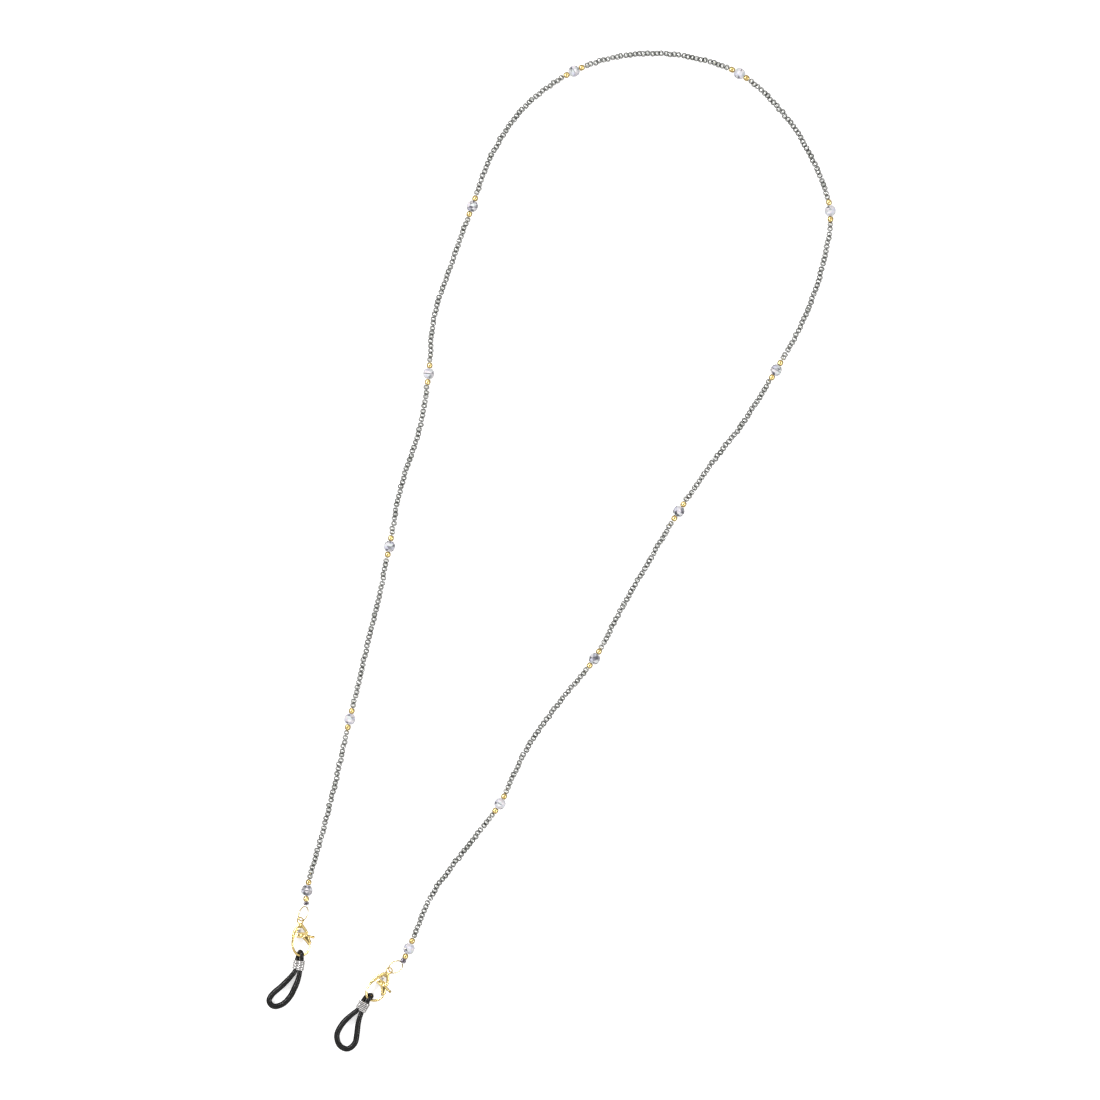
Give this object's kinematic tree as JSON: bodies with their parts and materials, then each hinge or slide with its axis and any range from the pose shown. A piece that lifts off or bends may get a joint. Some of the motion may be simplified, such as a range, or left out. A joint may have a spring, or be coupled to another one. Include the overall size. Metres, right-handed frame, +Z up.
{
  "type": "eyeglass retainer strap",
  "caption": "Beaded eyeglass strap with faceted crystals, gold spacers, lobster clasps and rubber temple loops with sliding coils.",
  "frame": {"origin": "on the surface the strap lies on, below the middle of the two end fittings", "axes": "+Z up from the surface, +Y from the fittings toward the neck part of the strand, +X to the right end"},
  "size_m": [0.1897, 0.3336, 0.0046],
  "materials": {
    "seed_glass": "silver-lined clear glass seed beads",
    "crystal": "faceted crystal with a half mirror coat",
    "gold": "bright gold plate",
    "pale_gold": "pale gold plated wire",
    "gunmetal": "dark gunmetal plate",
    "silver_wire": "bright nickel wire",
    "spring_steel": "plain spring wire",
    "rubber": "glossy black silicone rubber cord"
  },
  "bodies": {
    "strand": {"beaded_strand": "seed_glass", "gold_spacer_01": "gold", "gold_spacer_02": "gold", "gold_spacer_03": "gold", "gold_spacer_04": "gold", "gold_spacer_05": "gold", "gold_spacer_06": "gold", "gold_spacer_07": "gold", "gold_spacer_08": "gold", "gold_spacer_09": "gold", "gold_spacer_10": "gold", "gold_spacer_11": "gold", "gold_spacer_12": "gold", "gold_spacer_13": "gold", "gold_spacer_14": "gold", "gold_spacer_15": "gold", "gold_spacer_16": "gold", "gold_spacer_17": "gold", "gold_spacer_18": "gold", "gold_spacer_19": "gold", "gold_spacer_20": "gold", "gold_spacer_21": "gold", "gold_spacer_22": "gold", "gold_spacer_23": "gold", "gold_spacer_24": "gold", "gold_spacer_25": "gold", "gold_spacer_26": "gold", "left_crimp": "gunmetal", "right_crimp": "gunmetal"},
    "left_ring": {"left_wire_ring": "pale_gold"},
    "left_clasp": {"left_clasp_body": "gold", "left_clasp_pin": "gold", "left_clasp_spring": "spring_steel"},
    "left_trigger": {"left_clasp_trigger": "gold"},
    "left_loop": {"left_rubber_loop": "rubber"},
    "left_coil": {"left_wire_coil": "silver_wire"},
    "right_ring": {"right_wire_ring": "pale_gold"},
    "right_clasp": {"right_clasp_body": "gold", "right_clasp_pin": "gold", "right_clasp_spring": "spring_steel"},
    "right_trigger": {"right_clasp_trigger": "gold"},
    "right_loop": {"right_rubber_loop": "rubber"},
    "right_coil": {"right_wire_coil": "silver_wire"},
    "rondelle_01": {"crystal_rondelle_01": "crystal"},
    "rondelle_02": {"crystal_rondelle_02": "crystal"},
    "rondelle_03": {"crystal_rondelle_03": "crystal"},
    "rondelle_04": {"crystal_rondelle_04": "crystal"},
    "rondelle_05": {"crystal_rondelle_05": "crystal"},
    "rondelle_06": {"crystal_rondelle_06": "crystal"},
    "rondelle_07": {"crystal_rondelle_07": "crystal"},
    "rondelle_08": {"crystal_rondelle_08": "crystal"},
    "rondelle_09": {"crystal_rondelle_09": "crystal"},
    "rondelle_10": {"crystal_rondelle_10": "crystal"},
    "rondelle_11": {"crystal_rondelle_11": "crystal"},
    "rondelle_12": {"crystal_rondelle_12": "crystal"},
    "rondelle_13": {"crystal_rondelle_13": "crystal"}
  },
  "joints": [
    {"name": "left_clasp_swing", "type": "hinge", "parent": "left_ring", "child": "left_clasp", "pos_m": [-0.01145, 0.0194, 0.0023], "axis": [0, 0, 1], "range_deg": [-35, 35]},
    {"name": "left_clasp_trigger_press", "type": "hinge", "parent": "left_clasp", "child": "left_trigger", "pos_m": [-0.01075, 0.0145, 0.0023], "axis": [0, 0, 1], "range_deg": [-20, 0], "stiffness_Nm_per_rad": 0.01, "springref_deg": 8.59, "deforming": ["left_clasp_spring"]},
    {"name": "left_coil_slide", "type": "slide", "parent": "left_loop", "child": "left_coil", "axis": [-0.153, -0.9882, 0], "range_m": [0, 0.0025], "deforming": ["left_rubber_loop"]},
    {"name": "left_loop_swing", "type": "hinge", "parent": "left_clasp", "child": "left_loop", "pos_m": [-0.01155, 0.00778, 0.0023], "axis": [0, 0, 1], "range_deg": [-15, 15]},
    {"name": "left_ring_swing", "type": "hinge", "parent": "strand", "child": "left_ring", "pos_m": [-0.0095, 0.024, 0.0023], "axis": [0, 0, 1], "range_deg": [-25, 25]},
    {"name": "right_clasp_swing", "type": "hinge", "parent": "right_ring", "child": "right_clasp", "pos_m": [0.01815, 0.00274, 0.0023], "axis": [0, 0, 1], "range_deg": [-35, 35]},
    {"name": "right_clasp_trigger_press", "type": "hinge", "parent": "right_clasp", "child": "right_trigger", "pos_m": [0.01583, -0.00164, 0.0023], "axis": [0, 0, 1], "range_deg": [-20, 0], "stiffness_Nm_per_rad": 0.01, "springref_deg": 8.59, "deforming": ["right_clasp_spring"]},
    {"name": "right_coil_slide", "type": "slide", "parent": "right_loop", "child": "right_coil", "axis": [-0.5135, -0.8581, 0], "range_m": [0, 0.0025], "deforming": ["right_rubber_loop"]},
    {"name": "right_loop_swing", "type": "hinge", "parent": "right_clasp", "child": "right_loop", "pos_m": [0.01094, -0.00633, 0.0023], "axis": [0, 0, 1], "range_deg": [-15, 8]},
    {"name": "right_ring_swing", "type": "hinge", "parent": "strand", "child": "right_ring", "pos_m": [0.0225, 0.0052, 0.0023], "axis": [0, 0, 1], "range_deg": [-25, 25]},
    {"name": "rondelle_01_spin", "type": "hinge", "parent": "strand", "child": "rondelle_01", "pos_m": [-0.0093, 0.0294, 0.00201], "axis": [-0.1502, -0.9874, 0.0493], "continuous": true},
    {"name": "rondelle_02_spin", "type": "hinge", "parent": "strand", "child": "rondelle_02", "pos_m": [0.005, 0.0865, 0.00186], "axis": [-0.2263, -0.9741, 0.0001], "continuous": true},
    {"name": "rondelle_03_spin", "type": "hinge", "parent": "strand", "child": "rondelle_03", "pos_m": [0.0182, 0.144, 0.00186], "axis": [-0.198, -0.9802, -0.0001], "continuous": true},
    {"name": "rondelle_04_spin", "type": "hinge", "parent": "strand", "child": "rondelle_04", "pos_m": [0.0313, 0.2015, 0.00186], "axis": [-0.1309, -0.9914, 0.001], "continuous": true},
    {"name": "rondelle_05_spin", "type": "hinge", "parent": "strand", "child": "rondelle_05", "pos_m": [0.0458, 0.2573, 0.00186], "axis": [-0.3495, -0.9369, 0], "continuous": true},
    {"name": "rondelle_06_spin", "type": "hinge", "parent": "strand", "child": "rondelle_06", "pos_m": [0.0797, 0.3023, 0.00186], "axis": [-0.8979, -0.4402, 0.0004], "continuous": true},
    {"name": "rondelle_07_spin", "type": "hinge", "parent": "strand", "child": "rondelle_07", "pos_m": [0.1348, 0.3015, 0.00186], "axis": [-0.8675, 0.4975, 0.0003], "continuous": true},
    {"name": "rondelle_08_spin", "type": "hinge", "parent": "strand", "child": "rondelle_08", "pos_m": [0.165, 0.2558, 0.00186], "axis": [-0.0953, 0.9954, -0.0004], "continuous": true},
    {"name": "rondelle_09_spin", "type": "hinge", "parent": "strand", "child": "rondelle_09", "pos_m": [0.147, 0.2027, 0.00186], "axis": [0.5046, 0.8634, -0.0002], "continuous": true},
    {"name": "rondelle_10_spin", "type": "hinge", "parent": "strand", "child": "rondelle_10", "pos_m": [0.1146, 0.1557, 0.00186], "axis": [0.5417, 0.8405, 0.0001], "continuous": true},
    {"name": "rondelle_11_spin", "type": "hinge", "parent": "strand", "child": "rondelle_11", "pos_m": [0.0865, 0.1066, 0.00186], "axis": [0.5537, 0.8327, -0.0005], "continuous": true},
    {"name": "rondelle_12_spin", "type": "hinge", "parent": "strand", "child": "rondelle_12", "pos_m": [0.055, 0.0583, 0.00186], "axis": [0.5233, 0.8522, 0.0002], "continuous": true},
    {"name": "rondelle_13_spin", "type": "hinge", "parent": "strand", "child": "rondelle_13", "pos_m": [0.0247, 0.01, 0.00201], "axis": [0.4034, 0.9136, -0.0501], "continuous": true}
  ]
}
